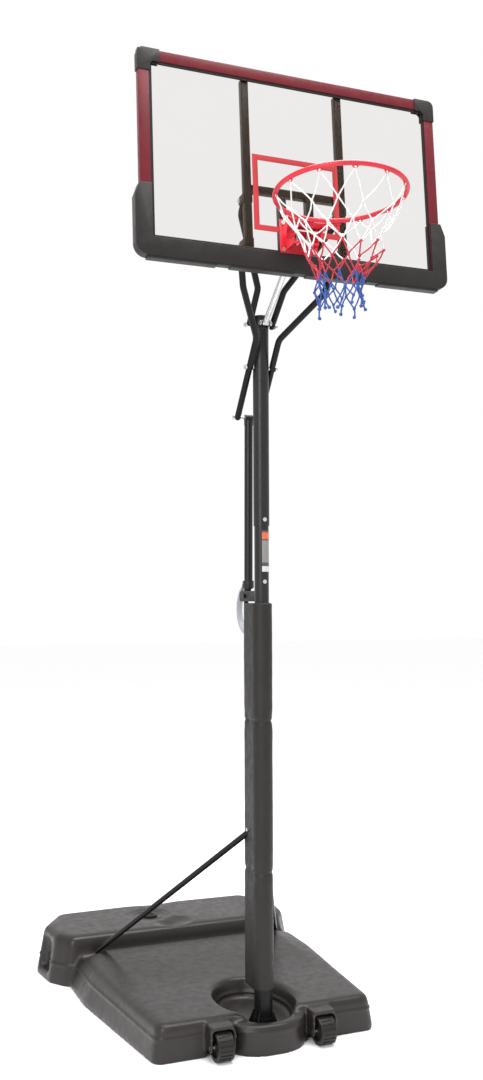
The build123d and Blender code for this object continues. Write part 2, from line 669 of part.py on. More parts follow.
def make_rim_flange():
    """Plate under the back of the ring, with two webs that hinge on the mount."""
    rear = -12
    plate = polygon([(-52, rear), (52, rear), (104, -RING_OFF + 208), (104, -RING_OFF + 190),
                     (-104, -RING_OFF + 190), (-104, -RING_OFF + 208)])
    plate = extrude(Pos(0, 0, FLANGE_Z[0]) * plate, FLANGE_Z[1] - FLANGE_Z[0])
    plate -= Pos(0, -RING_OFF, 0) * Cylinder(RING_R + 4, 60)
    for side in (-1, 1):
        plate -= Pos(side * SPRING_X, SPRING_Y, 0) * Cylinder(4.1, 60)
    py, pz = RIM_PIVOT
    web = polygon([(rear, FLANGE_Z[0] + 1), (-112, FLANGE_Z[0] + 1), (-98, -34), (py - 8, -44), (-40, -44),
                   (rear, -28)])
    for side in (-1, 1):
        x = BOX_X + 0.6 if side > 0 else -BOX_X - 0.6 - SHEET
        plate += Pos(x, 0, 0) * extrude(Plane.YZ * web, SHEET)
    plate -= rod((-60, py, pz), (60, py, pz), 5.05)
    return BOARD * (plate - Pos(0, -RING_OFF, 0) * Torus(RING_R, RING_TUBE / 2))


def make_hinge_pin():
    py, pz = RIM_PIVOT
    reach = BOX_X + SHEET + 2
    pin = rod((-reach, py, pz), (reach, py, pz), HINGE_R)
    for x in (-reach - 2, reach - 0.5):
        pin += rod((x, py, pz), (x + 2.5, py, pz), 7.5)
    return BOARD * pin


def make_spring_bolts():
    """Bolts hung from the flange, with the washers that the springs push down on."""
    bolts = []
    for side in (-1, 1):
        x = side * SPRING_X
        bolt = rod((x, SPRING_Y, -66), (x, SPRING_Y, FLANGE_Z[1] + 2), 4)
        bolt += Pos(x, SPRING_Y, FLANGE_Z[1]) * extrude(RegularPolygon(7, 6), 5)
        bolt += Pos(x, SPRING_Y, SPRING_Z[0] - 2.8) * extrude(Circle(9.5), 2.5)
        bolt += Pos(x, SPRING_Y, SPRING_Z[0] - 9) * extrude(RegularPolygon(7, 6), 6.5)
        bolts.append(BOARD * bolt)
    return group(*bolts)


def make_net_hooks():
    """Wire loops welded under the ring."""
    loop_r, wire = 9, 2.2
    ring = Pos(0, -RING_OFF, 0) * Torus(RING_R, RING_TUBE / 2)
    loop = Rot(90, 0, 0) * Torus(loop_r, wire)
    loop -= block(-20, 20, -20, 20, 0, 20)
    hooks = []
    for i in range(HOOKS):
        place = Pos(0, -RING_OFF, 0) * Rot(0, 0, 15 + i * 360 / HOOKS) * Pos(0, RING_R - 3, -6)
        hooks.append(BOARD * (place * loop - ring))
    return group(*hooks)


def net_form(shrink):
    """Funnel that hangs straight down from the leaning ring."""
    top = BOARD * Pos(0, -RING_OFF, -18) * Circle(NET_TOP_R - shrink)
    centre = BOARD.position + Vector(0, -RING_OFF * math.cos(math.radians(BOARD_TILT)),
                                     RING_OFF * math.sin(math.radians(BOARD_TILT)))
    waist = Pos(centre.X, centre.Y, centre.Z - NET_LENGTH * 0.6) * Circle(NET_WAIST_R - shrink)
    foot = Pos(centre.X, centre.Y, centre.Z - NET_LENGTH) * Circle(NET_FOOT_R - shrink)
    return loft([top.face(), waist.face(), foot.face()], ruled=True)


def make_net():
    return net_form(0) - net_form(4)


# ---------------------------------------------------------------- height adjuster
LIFT_TOP = Vector(0, TAIL_Y, PIVOT_LOW_Z + TAIL_Z)
LIFT_FOOT = Vector(0, LIFT_FOOT_Y, LIFT_FOOT_Z)


def lift_point(distance):
    """A point on the adjuster's axis, measured down from its head."""
    return LIFT_TOP + (LIFT_FOOT - LIFT_TOP).normalized() * distance


def make_adjuster_tube():
    """Outer tube hung from the tails of the arms."""
    length = LIFT_TOP.Z - TUBE_END_Z
    body = rod(lift_point(14), lift_point(length), LIFT_TUBE_R)
    body += rod(lift_point(10), lift_point(30), LIFT_TUBE_R + 1.5)
    body += rod((-16, TAIL_Y, LIFT_TOP.Z), (16, TAIL_Y, LIFT_TOP.Z), 13)
    body -= rod(lift_point(40), lift_point(length + 1), LIFT_ROD_R + FIT)
    return body - rod((-20, TAIL_Y, LIFT_TOP.Z), (20, TAIL_Y, LIFT_TOP.Z), BOLT_R + FIT)


def make_adjuster_rod():
    """Inner rod whose eye sits between the cheeks of the bracket on the pole."""
    length = (LIFT_FOOT - LIFT_TOP).length
    body = rod(lift_point(90), lift_point(length), LIFT_ROD_R)
    body -= rod(lift_point(89), lift_point(length - 30), LIFT_ROD_R - 2.5)
    body += rod((-12, LIFT_FOOT_Y, LIFT_FOOT_Z), (12, LIFT_FOOT_Y, LIFT_FOOT_Z), LIFT_ROD_R + 2)
    return body - rod((-20, LIFT_FOOT_Y, LIFT_FOOT_Z), (20, LIFT_FOOT_Y, LIFT_FOOT_Z), BOLT_R)


def make_adjuster_bracket():
    """Channel bolted to the back of the pole, open between its cheeks."""
    z0, z1, gap, back = 1690, 1732, 14, 192
    web = block(-gap - SHEET, gap + SHEET, 20, 32, z0, 1784) - rod((0, 0, z0 - 1), (0, 0, 1800), MID_POLE_R)
    for side in (-1, 1):
        x0, x1 = sorted((side * gap, side * (gap + SHEET)))
        cheek = block(x0, x1, 24, back, z0, z1)
        cheek = fillet(cheek.edges().filter_by(Axis.X).sort_by(Axis.Y)[-2:], 14)
        web += cheek - rod((0, 0, z0 - 1), (0, 0, 1800), MID_POLE_R)
        stub = hexagon((x0 - 6 if side < 0 else x1, LIFT_FOOT_Y, LIFT_FOOT_Z),
                       (x0 if side < 0 else x1 + 6, LIFT_FOOT_Y, LIFT_FOOT_Z), 9)
        web += stub
    return web - rod((0, 0, 1767), (0, 60, 1767), 4)


def make_adjuster_handle():
    """Clamp on the tube with the bowed grip behind it."""
    ring = Cylinder(HANDLE_R + 5, 22) - Cylinder(HANDLE_R - 5, 22)
    ring = Pos(0, HANDLE_Y, HANDLE_Z) * Rot(0, 90, 0) * ring
    grip = ring & block(-30, 30, 164, 400, 1500, 1800)
    py, pz = TRIGGER_PIVOT
    collar = tube((0, LIFT_FOOT_Y - 0.6, 1744), (0, LIFT_FOOT_Y - 0.6, 1774), 22, LIFT_TUBE_R + 1.2)
    neck = block(-11, 11, 156, 178, 1744, 1772)
    ears = block(9.6, 12.6, py - 7, py + 12, pz - 7, 1760)
    ears += block(-12.6, -9.6, py - 7, py + 12, pz - 7, 1760)
    pin = rod((-14, py, pz), (14, py, pz), 3)
    return grip + collar + neck + ears + pin


def make_trigger_lever():
    """Lever squeezed towards the grip to free the adjuster."""
    py, pz = TRIGGER_PIVOT
    lever = rod((-9, py, pz), (9, py, pz), 6) + block(-9, 9, py - 4, py + 4, 1602, pz)
    lever = lever + rod((-9, py, 1602), (9, py, 1602), 4)
    return lever - rod((-20, py, pz), (20, py, pz), 3.05)


# ---------------------------------------------------------------- counterbalance
COUNTER_TOP = Vector(0, -ARM_RUN, PIVOT_LOW_Z + ARM_RISE)
COUNTER_FOOT = Vector(0, COUNTER_Y, PIVOT_LOW_Z + PIVOT_GAP)


def counter_point(distance):
    """A point on the counterbalance's axis, measured up from the pole."""
    return COUNTER_FOOT + (COUNTER_TOP - COUNTER_FOOT).normalized() * distance


def make_counter_tube():
    body = rod(counter_point(6), counter_point(265), COUNTER_R)
    body += rod((-13.4, COUNTER_Y, COUNTER_FOOT.Z), (13.4, COUNTER_Y, COUNTER_FOOT.Z), 9.5)
    body -= rod(counter_point(15), counter_point(266), 8.3)
    return body - rod((-20, COUNTER_Y, COUNTER_FOOT.Z), (20, COUNTER_Y, COUNTER_FOOT.Z), 4.05)


def make_counter_rod():
    length = (COUNTER_TOP - COUNTER_FOOT).length
    body = rod(counter_point(22), counter_point(length), 8.2)
    eye = rod((-8, COUNTER_TOP.Y, COUNTER_TOP.Z), (8, COUNTER_TOP.Y, COUNTER_TOP.Z), 11)
    body -= rod(counter_point(21), counter_point(length - 40), 5.5)
    return body + eye - rod((-20, COUNTER_TOP.Y, COUNTER_TOP.Z), (20, COUNTER_TOP.Y, COUNTER_TOP.Z), 4)


def make_counter_bracket():
    """Two cheeks on the lower cross bar that the rod's eye moves between."""
    y0 = RAIL_BACK + 25.2
    y, z = LOW_PIVOT
    cheek = polygon([(y0, -124), (y0 + 30, -124), (y + 44, z - 30), (y + 44, z + 14), (y + 20, z + 44),
                     (y - 10, z + 44), (y0, z)])
    parts = []
    for x in (12, -12 - SHEET):
        parts.append(BOARD * Pos(x, 0, 0) * extrude(Plane.YZ * cheek, SHEET))
    return group(*parts)


NODES = {
    "tank": make_tank,
    "wheel_axles": make_wheel_axles,
    "left_wheel": lambda: make_wheel(-1),
    "right_wheel": lambda: make_wheel(1),
    "fill_cap": make_fill_cap,
    "pole_foot": make_pole_foot,
    "foot_bolts": make_foot_bolts,
    "lower_pole": make_lower_pole,
    "middle_pole": make_middle_pole,
    "upper_pole": make_upper_pole,
    "pole_cap": make_pole_cap,
    "pole_bolts": make_pole_bolts,
    "pivot_bolts": make_pivot_bolts,
    "height_label": make_height_label,
    "pole_pad": make_pole_pad,
    "strut_collar": make_strut_collar,
    "left_strut": lambda: make_strut(-1),
    "right_strut": lambda: make_strut(1),
    "strut_bolts": make_strut_bolts,
    "adjuster_bracket": make_adjuster_bracket,
    "left_lower_arm": lambda: make_arm(-1, True),
    "right_lower_arm": lambda: make_arm(1, True),
    "tail_bolt": make_tail_bolt,
    "left_upper_arm": lambda: make_arm(-1, False),
    "right_upper_arm": lambda: make_arm(1, False),
    "board_panel": make_board_panel,
    "top_rail": make_top_rail,
    "bottom_rail": make_bottom_rail,
    "left_rail": lambda: make_side_rail(-1),
    "right_rail": lambda: make_side_rail(1),
    "left_corner_cap": lambda: make_corner_cap(-1),
    "right_corner_cap": lambda: make_corner_cap(1),
    "bottom_pad": make_bottom_pad,
    "left_bar": lambda: make_bar(-1),
    "right_bar": lambda: make_bar(1),
    "cross_bar": make_cross_bar,
    "lower_cross_bar": make_lower_cross_bar,
    "left_post": lambda: make_post(-1),
    "right_post": lambda: make_post(1),
    "pivot_plates": make_pivot_plates,
    "board_bolts": make_board_bolts,
    "shooter_square": make_shooter_square,
    "rim_mount": make_rim_mount,
    "mount_bolts": make_mount_bolts,
    "breakaway_springs": make_breakaway_springs,
    "counter_bracket": make_counter_bracket,
    "rim_ring": make_rim_ring,
    "rim_flange": make_rim_flange,
    "net_hooks": make_net_hooks,
    "hinge_pin": make_hinge_pin,
    "spring_bolts": make_spring_bolts,
    "net": make_net,
    "adjuster_tube": make_adjuster_tube,
    "adjuster_handle": make_adjuster_handle,
    "trigger_lever": make_trigger_lever,
    "adjuster_rod": make_adjuster_rod,
    "counter_tube": make_counter_tube,
    "counter_rod": make_counter_rod,
}

os.makedirs("parts", exist_ok=True)
for name, make in NODES.items():
    export_step(make(), f"parts/{name}.step")
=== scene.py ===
import json
import math
import random

import bmesh
import bpy
from mathutils import Matrix, Vector, noise


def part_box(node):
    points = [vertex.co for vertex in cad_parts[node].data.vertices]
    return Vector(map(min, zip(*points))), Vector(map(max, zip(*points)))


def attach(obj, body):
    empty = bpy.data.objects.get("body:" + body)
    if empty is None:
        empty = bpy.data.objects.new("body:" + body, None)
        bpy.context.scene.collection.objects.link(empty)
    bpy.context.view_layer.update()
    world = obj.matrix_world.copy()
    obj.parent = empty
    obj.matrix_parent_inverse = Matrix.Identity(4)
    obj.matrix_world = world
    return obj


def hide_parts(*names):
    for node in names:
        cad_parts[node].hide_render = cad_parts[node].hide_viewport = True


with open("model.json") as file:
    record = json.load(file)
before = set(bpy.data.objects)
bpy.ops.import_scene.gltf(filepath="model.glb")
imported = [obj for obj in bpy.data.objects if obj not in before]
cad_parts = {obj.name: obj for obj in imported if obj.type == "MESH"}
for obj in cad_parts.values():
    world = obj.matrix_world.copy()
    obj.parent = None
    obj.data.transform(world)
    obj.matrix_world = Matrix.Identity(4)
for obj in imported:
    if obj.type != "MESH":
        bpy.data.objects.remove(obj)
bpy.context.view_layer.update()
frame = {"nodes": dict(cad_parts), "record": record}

nodes = frame["nodes"]

# ---------------------------------------------------------------- sizes, in metres
RIM_Z = 3.050                      # rim height at the board's face
BOARD_Y = -0.356                   # face of the panel at rim height
TILT = math.radians(4.41)          # lean of the board
BOARD_OUT = Vector((0, -math.cos(TILT), math.sin(TILT)))    # out of the board's face
BOARD_UP = Vector((0, math.sin(TILT), math.cos(TILT)))
RING_OFF = 0.347
RING_R = 0.2256
WINDOW_X = 0.5655
WINDOW_LOW, WINDOW_HIGH = -0.090, 0.572
HOOKS = 12
LABEL_LOW, LABEL_HIGH = 1.806, 1.967
GRIP_TOP = 1.738                  # above it the height handle is a dark clamp
FILLER = Vector((-0.105, 1.130, 0))
CAP_RINGS = (0.058, 0.078)
DISH = Vector((-0.02, 0.985, 0))
DISH_R, DISH_DEPTH = 0.085, 0.014
PARTING_Z = 0.085                 # the tank's moulded parting line
SWEEP_START, SWEEP_RUN, SWEEP_END = 0.30, 0.50, 0.845    # the rise before the raised end
SWEEP_RISE = 0.024
WHEEL_X = 0.208
HOOK_DROP = 0.014                 # from the ring's centre to the net's top knots
CORD_R = 0.0026
SPRING_X, SPRING_DEPTH = 0.022, -0.034
WELD = 0.00002                    # vertices closer than this are one
BEVEL_ANGLE, SHARP_ANGLE = 35, 50


def on_board(x, depth, height):
    """A point on the leaning board: across, behind its face, and above the rim's plane."""
    return Vector((x, BOARD_Y, RIM_Z)) - BOARD_OUT * depth + BOARD_UP * height


RING_CENTRE = on_board(0, -RING_OFF, 0)


# ---------------------------------------------------------------- material helpers
def tree(name):
    """A new node material, with its node tree and its shader."""
    material = bpy.data.materials.new(name)
    material.use_nodes = True
    return material, material.node_tree, material.node_tree.nodes["Principled BSDF"]


def add(nt, kind, **settings):
    """A node with its settings and unlinked inputs set by name."""
    node = nt.nodes.new(kind)
    for key, value in settings.items():
        if hasattr(node, key):
            setattr(node, key, value)
        else:
            node.inputs[key.replace("_", " ")].default_value = value
    return node


def place(nt, scale=(1, 1, 1)):
    """Coordinates fixed to the piece, stretched by scale."""
    coords = add(nt, "ShaderNodeTexCoord")
    mapping = add(nt, "ShaderNodeMapping", Scale=scale)
    nt.links.new(coords.outputs["Object"], mapping.inputs["Vector"])
    return mapping.outputs["Vector"]


def grain(nt, vector, scale, detail=4.0, roughness=0.6):
    """A noise texture's value."""
    node = add(nt, "ShaderNodeTexNoise", Scale=scale, Detail=detail, Roughness=roughness)
    nt.links.new(vector, node.inputs["Vector"])
    return node.outputs["Fac"]


def spread(nt, value, low, high, start=0.3, end=0.7):
    """A value stretched to run from low to high."""
    node = add(nt, "ShaderNodeMapRange")
    node.inputs["From Min"].default_value = start
    node.inputs["From Max"].default_value = end
    node.inputs["To Min"].default_value = low
    node.inputs["To Max"].default_value = high
    nt.links.new(value, node.inputs["Value"])
    return node.outputs["Result"]


def blend_colours(nt, factor, first, second):
    """A colour between two, by a factor from 0 to 1. Each colour is a tuple or a socket."""
    node = add(nt, "ShaderNodeMix", data_type="RGBA")
    nt.links.new(factor, node.inputs["Factor"])
    for socket, colour in ((node.inputs[6], first), (node.inputs[7], second)):
        if isinstance(colour, tuple):
            socket.default_value = (*colour, 1)
        else:
            nt.links.new(colour, socket)
    return node.outputs[2]


def bump(nt, shader, height, strength, distance):
    """Raises the surface by a height texture; further calls stack."""
    node = add(nt, "ShaderNodeBump", Strength=strength, Distance=distance)
    nt.links.new(height, node.inputs["Height"])
    socket = shader.inputs["Normal"]
    if socket.is_linked:
        nt.links.new(socket.links[0].from_socket, node.inputs["Normal"])
    nt.links.new(node.outputs["Normal"], socket)


def worn_edges(nt, colour, edge_colour, strength=0.6):
    """Lightens a colour where edges stand out."""
    geometry = add(nt, "ShaderNodeNewGeometry")
    edge = spread(nt, geometry.outputs["Pointiness"], 0, strength, 0.52, 0.62)
    return blend_colours(nt, edge, colour, edge_colour)


def scaled(colour, factor):
    return tuple(min(1.0, c * factor) for c in colour)


def plastic(name, colour, rough=0.5, mottle=0.18, grain_scale=900, grain_depth=0.25, spec=0.5):
    """Moulded plastic: fine moulded grain, uneven sheen, light scuffs and lighter worn edges."""
    material, nt, shader = tree(name)
    where = place(nt)
    cloud = grain(nt, where, 7, 6)
    tint = blend_colours(nt, spread(nt, cloud, 0, 1), scaled(colour, 1 - mottle), scaled(colour, 1 + mottle))
    dust = spread(nt, grain(nt, where, 55, 8, 0.7), 0, 0.35, 0.5, 0.8)
    tint = blend_colours(nt, dust, tint, scaled(colour, 1.5))
    tint = worn_edges(nt, tint, scaled(colour, 2.2))
    nt.links.new(tint, shader.inputs["Base Color"])
    nt.links.new(spread(nt, grain(nt, where, 30, 6), rough - 0.08, rough + 0.1), shader.inputs["Roughness"])
    shader.inputs["Specular IOR Level"].default_value = spec
    bump(nt, shader, grain(nt, where, grain_scale, 2), grain_depth, 0.0004)
    bump(nt, shader, grain(nt, where, 9, 2), 0.10, 0.002)
    return material


def painted(name, colour, rough=0.35, peel=0.25, spec=0.3):
    """Powder-coated steel: orange-peel surface, uneven gloss, and chipped, lighter edges."""
    material, nt, shader = tree(name)
    where = place(nt)
    cloud = spread(nt, grain(nt, where, 9, 5), 0, 1)
    tint = blend_colours(nt, cloud, scaled(colour, 0.85), scaled(colour, 1.15))
    tint = worn_edges(nt, tint, scaled(colour, 1.9), 0.5)
    nt.links.new(tint, shader.inputs["Base Color"])
    nt.links.new(spread(nt, grain(nt, where, 40, 6), rough - 0.07, rough + 0.1), shader.inputs["Roughness"])
    shader.inputs["Specular IOR Level"].default_value = spec
    bump(nt, shader, grain(nt, where, 420, 2), peel, 0.0003)
    return material


def metal(name, colour, rough=0.3, brushed=(1, 1, 1)):
    """Bare or plated metal with brushing, dull patches and fine scratches."""
    material, nt, shader = tree(name)
    lines = grain(nt, place(nt, brushed), 300, 3)
    patches = grain(nt, place(nt), 25, 6)
    tint = blend_colours(nt, spread(nt, patches, 0, 1), scaled(colour, 0.85), colour)
    nt.links.new(tint, shader.inputs["Base Color"])
    nt.links.new(spread(nt, lines, rough - 0.08, rough + 0.14), shader.inputs["Roughness"])
    shader.inputs["Metallic"].default_value = 1.0
    bump(nt, shader, lines, 0.2, 0.0002)
    return material


def vinyl(name, colour):
    """Soft vinyl skin over foam: leather-like grain, slow creases and a low sheen."""
    material, nt, shader = tree(name)
    where = place(nt)
    cells = add(nt, "ShaderNodeTexVoronoi", Scale=520.0)
    nt.links.new(where, cells.inputs["Vector"])
    cloud = spread(nt, grain(nt, where, 12, 6), 0, 1)
    tint = blend_colours(nt, cloud, scaled(colour, 0.82), scaled(colour, 1.18))
    scuffs = spread(nt, grain(nt, place(nt, (1, 1, 0.2)), 60, 6), 0, 0.3)
    tint = blend_colours(nt, scuffs, tint, scaled(colour, 1.5))
    nt.links.new(tint, shader.inputs["Base Color"])
    nt.links.new(spread(nt, grain(nt, where, 35, 5), 0.40, 0.55), shader.inputs["Roughness"])
    shader.inputs["Specular IOR Level"].default_value = 0.28
    bump(nt, shader, cells.outputs["Distance"], 0.22, 0.0004)
    bump(nt, shader, grain(nt, place(nt, (1, 1, 0.35)), 18, 4), 0.35, 0.004)
    return material


def cordage(name, colour):
    """Twisted nylon cord: strands wound round it, with painted shade darkening the grooves between them, and
    soft fibre sheen.
    """
    material, nt, shader = tree(name)
    where = place(nt)
    wave = add(nt, "ShaderNodeTexWave", Scale=260.0, Distortion=2.0)
    wave.bands_direction = "DIAGONAL"
    nt.links.new(where, wave.inputs["Vector"])
    # painted shade: the cord is darker where the wave's bump is low, in the grooves between strands
    tint = blend_colours(nt, wave.outputs["Fac"], scaled(colour, 0.72), colour)
    tint = blend_colours(nt, spread(nt, grain(nt, where, 90, 5), 0, 0.35), tint, scaled(colour, 0.6))
    nt.links.new(tint, shader.inputs["Base Color"])
    nt.links.new(spread(nt, grain(nt, where, 200, 3), 0.7, 0.95), shader.inputs["Roughness"])
    bump(nt, shader, wave.outputs["Fac"], 0.6, 0.0008)
    return material


def clear_sheet(name):
    """Clear polycarbonate with a faint warm grey tint, seen from either side."""
    material, nt, shader = tree(name)
    where = place(nt)
    haze = spread(nt, grain(nt, where, 5, 6), 0, 1)
    tint = blend_colours(nt, haze, (0.070, 0.034, 0.012), (0.090, 0.048, 0.020))
    nt.links.new(tint, shader.inputs["Base Color"])
    nt.links.new(spread(nt, grain(nt, where, 24, 6), 0.05, 0.14), shader.inputs["Roughness"])
    shader.inputs["Alpha"].default_value = 0.100
    bump(nt, shader, grain(nt, where, 3, 2), 0.05, 0.002)
    return material


def banded_sticker(name):
    """A plain sticker with an orange band, a grey field with darker stripes, and a pale foot."""
    material, nt, shader = tree(name)
    coords = add(nt, "ShaderNodeTexCoord")
    height = add(nt, "ShaderNodeSeparateXYZ")
    nt.links.new(coords.outputs["Object"], height.inputs["Vector"])
    share = spread(nt, height.outputs["Z"], 0, 1, LABEL_LOW, LABEL_HIGH)
    ramp = add(nt, "ShaderNodeValToRGB")
    ramp.color_ramp.interpolation = "CONSTANT"
    bands = ((0.0, (0.55, 0.54, 0.53)), (0.13, (0.045, 0.042, 0.042)), (0.22, (0.20, 0.19, 0.19)),
             (0.76, (0.05, 0.045, 0.045)), (0.79, (0.62, 0.11, 0.03)), (0.95, (0.10, 0.04, 0.03)))
    while len(ramp.color_ramp.elements) < len(bands):
        ramp.color_ramp.elements.new(0.5)
    for element, (start, colour) in zip(ramp.color_ramp.elements, bands):
        element.position = start
        element.color = (*colour, 1)
    nt.links.new(share, ramp.inputs["Fac"])
    where = place(nt)
    nt.links.new(blend_colours(nt, spread(nt, grain(nt, where, 60, 5), 0, 0.3), ramp.outputs["Color"],
                               (0.10, 0.095, 0.09)), shader.inputs["Base Color"])
    nt.links.new(spread(nt, grain(nt, where, 50, 5), 0.3, 0.5), shader.inputs["Roughness"])
    bump(nt, shader, grain(nt, where, 300, 2), 0.08, 0.0002)
    return material


# ---------------------------------------------------------------- the materials themselves
TANK = plastic("tank_plastic", (0.016, 0.0130, 0.0120), 0.34, 0.10, 700, 0.25, spec=0.34)
TANK_DARK = plastic("moulded_dark", (0.012, 0.011, 0.0105), 0.42, 0.12, 800, 0.3, spec=0.25)
GUARD = plastic("guard_plastic", (0.014, 0.012, 0.0115), 0.38, 0.12, 900, 0.3, spec=0.25)
BLACK = painted("black_powder_coat", (0.0055, 0.0050, 0.0050), 0.28, spec=0.16)
POLE = painted("pole_powder_coat", (0.010, 0.0092, 0.0095), 0.30, spec=0.28)
RAIL_RED = painted("rail_red_paint", (0.090, 0.006, 0.010), 0.33, spec=0.22)
RIM_RED = painted("rim_red_paint", (0.50, 0.018, 0.032), 0.28, spec=0.35)
MARK_RED = painted("printed_red", (0.26, 0.020, 0.024), 0.45, 0.1, spec=0.2)
ZINC = metal("zinc_plate", (0.66, 0.65, 0.62), 0.32)
SILVER = metal("satin_silver", (0.62, 0.62, 0.62), 0.30, (1, 1, 0.1))
GREY = plastic("grip_grey", (0.30, 0.31, 0.335), 0.45, 0.08)
LABEL = banded_sticker("sticker")
VINYL = vinyl("pad_vinyl", (0.0125, 0.0108, 0.0102))
NET_WHITE = cordage("net_white", (0.80, 0.79, 0.78))
NET_RED = cordage("net_red", (0.52, 0.030, 0.055))
NET_BLUE = cordage("net_blue", (0.035, 0.095, 0.36))
CLEAR = clear_sheet("clear_panel")
# near-black strip material: painted shade for the frame's shadow gap round the clear panel
SHADOW_STRIP = plastic("shadow_strip_black", (0.007, 0.0065, 0.0065), 0.55, 0.1, 700, 0.2, spec=0.2)

FINISH = {
    "tank": TANK, "wheel_axles": ZINC, "left_wheel": TANK_DARK, "right_wheel": TANK_DARK, "fill_cap": TANK_DARK,
    "pole_foot": BLACK, "foot_bolts": ZINC, "lower_pole": BLACK, "middle_pole": POLE, "upper_pole": POLE,
    "pole_cap": GUARD, "pole_bolts": ZINC, "pivot_bolts": ZINC, "height_label": LABEL, "pole_pad": VINYL,
    "strut_collar": BLACK, "left_strut": BLACK, "right_strut": BLACK, "strut_bolts": ZINC,
    "adjuster_bracket": BLACK, "left_lower_arm": BLACK, "right_lower_arm": BLACK, "tail_bolt": ZINC,
    "left_upper_arm": BLACK, "right_upper_arm": BLACK, "board_panel": CLEAR, "top_rail": RAIL_RED,
    "bottom_rail": RAIL_RED, "left_rail": RAIL_RED, "right_rail": RAIL_RED, "left_corner_cap": GUARD,
    "right_corner_cap": GUARD, "bottom_pad": GUARD, "left_bar": BLACK, "right_bar": BLACK, "cross_bar": BLACK,
    "lower_cross_bar": BLACK, "left_post": BLACK, "right_post": BLACK, "pivot_plates": BLACK,
    "board_bolts": ZINC, "shooter_square": MARK_RED, "rim_mount": RIM_RED, "mount_bolts": ZINC,
    "breakaway_springs": ZINC, "counter_bracket": BLACK, "rim_ring": RIM_RED, "rim_flange": RIM_RED,
    "net_hooks": RIM_RED, "hinge_pin": ZINC, "spring_bolts": ZINC, "net": NET_WHITE, "adjuster_tube": POLE,
    "adjuster_handle": GREY, "trigger_lever": GUARD, "adjuster_rod": BLACK, "counter_tube": SILVER,
    "counter_rod": BLACK,
}


# ---------------------------------------------------------------- mesh helpers
def new_object(name, mesh, *materials):
    piece = bpy.data.objects.new(name, mesh)
    bpy.context.scene.collection.objects.link(piece)
    for material in materials:
        mesh.materials.append(material)
    return piece


def from_bmesh(name, bm, *materials, smooth=True):
    mesh = bpy.data.meshes.new(name)
    bm.normal_update()
    bm.to_mesh(mesh)
    bm.free()
    if smooth:
        mesh.shade_smooth()
    return new_object(name, mesh, *materials)


def apply_all(piece):
    """Replaces a piece's mesh by what its modifiers make of it."""
    depsgraph = bpy.context.evaluated_depsgraph_get()
    mesh = bpy.data.meshes.new_from_object(piece.evaluated_get(depsgraph))
    piece.modifiers.clear()
    piece.data = mesh


def tube_along(bm, points, radius, sides=10, material=0, lobes=0):
    """A round or lobed tube along points, added to a bmesh."""
    rings = []
    side = None
    turn = 0.0
    for i, point in enumerate(points):
        before = points[max(0, i - 1)]
        after = points[min(len(points) - 1, i + 1)]
        along = (after - before).normalized()
        if side is None:
            side = along.orthogonal().normalized()
        side = (side - along * side.dot(along)).normalized()
        up = along.cross(side)
        if i:
            turn += (point - before).length / (radius * 7)
        ring = []
        for k in range(sides):
            angle = 2 * math.pi * k / sides
            reach = radius * (1 + 0.16 * math.cos(lobes * (angle + turn))) if lobes else radius
            ring.append(bm.verts.new(point + side * math.cos(angle) * reach + up * math.sin(angle) * reach))
        rings.append(ring)
    for low, high in zip(rings, rings[1:]):
        for k in range(sides):
            face = bm.faces.new((low[k], low[(k + 1) % sides], high[(k + 1) % sides], high[k]))
            face.material_index = material
    bm.faces.new(reversed(rings[0])).material_index = material
    bm.faces.new(rings[-1]).material_index = material


def knot_at(bm, centre, radius, material, seed):
    """A small lumpy knot."""
    made = bmesh.ops.create_icosphere(bm, subdivisions=2, radius=radius, matrix=Matrix.Translation(centre))
    for vert in made["verts"]:
        lump = noise.noise(vert.co * 160 + Vector((seed, 0, 0)))
        vert.co = centre + (vert.co - centre) * (1 + 0.35 * lump)
    for face in {f for v in made["verts"] for f in v.link_faces}:
        face.material_index = material


def softened(node, width, body, material):
    """A CAD node's shape with its edges rounded over, standing in for the node."""
    mesh = nodes[node].data.copy()
    mesh.materials.clear()
    piece = new_object(node + "_finished", mesh, material)
    bm = bmesh.new()
    bm.from_mesh(mesh)
    bmesh.ops.remove_doubles(bm, verts=bm.verts, dist=WELD)
    bmesh.ops.dissolve_limit(bm, angle_limit=math.radians(1.0), verts=bm.verts, edges=bm.edges)
    bm.to_mesh(mesh)
    bm.free()
    bevel = piece.modifiers.new("round", "BEVEL")
    bevel.width = width
    bevel.segments = 3
    bevel.limit_method = "ANGLE"
    bevel.angle_limit = math.radians(BEVEL_ANGLE)
    bevel.use_clamp_overlap = True
    bevel.harden_normals = False
    apply_all(piece)
    piece.data.shade_smooth()
    piece.data.set_sharp_from_angle(angle=math.radians(SHARP_ANGLE))
    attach(piece, body)
    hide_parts(node)


# ---------------------------------------------------------------- net
NET_ROWS = [(0.0, 1.0), (0.065, 0.84), (0.125, 0.70), (0.183, 0.565), (0.232, 0.46), (0.280, 0.385),
            (0.322, 0.345), (0.360, 0.335)]
WHITE_ROWS, RED_ROWS = 3, 5


def net_points():
    """Knots of the net: rows of points round the ring's vertical axis, each row half a step on."""
    rng = random.Random(11)
    rows = []
    for r, (drop, share) in enumerate(NET_ROWS):
        row = []
        for k in range(HOOKS):
            angle = math.radians(15) + 2 * math.pi * (k + 0.5 * (r % 2)) / HOOKS
            out = Vector((math.sin(angle), math.cos(angle), 0))
            if r == 0:
                reach = RING_R - 0.003
                rim = RING_CENTRE + Vector((out.x, 0, 0)) * reach - BOARD_OUT * out.y * reach
                point = rim - BOARD_UP * HOOK_DROP
            else:
                radius = RING_R * share + rng.uniform(-0.014, 0.010)
                point = Vector((RING_CENTRE.x, RING_CENTRE.y, RING_CENTRE.z - HOOK_DROP - drop)) + out * radius
                point += Vector((rng.uniform(-1, 1), rng.uniform(-1, 1), rng.uniform(-1, 1))) * 0.010
            row.append(point)
        rows.append(row)
    return rows


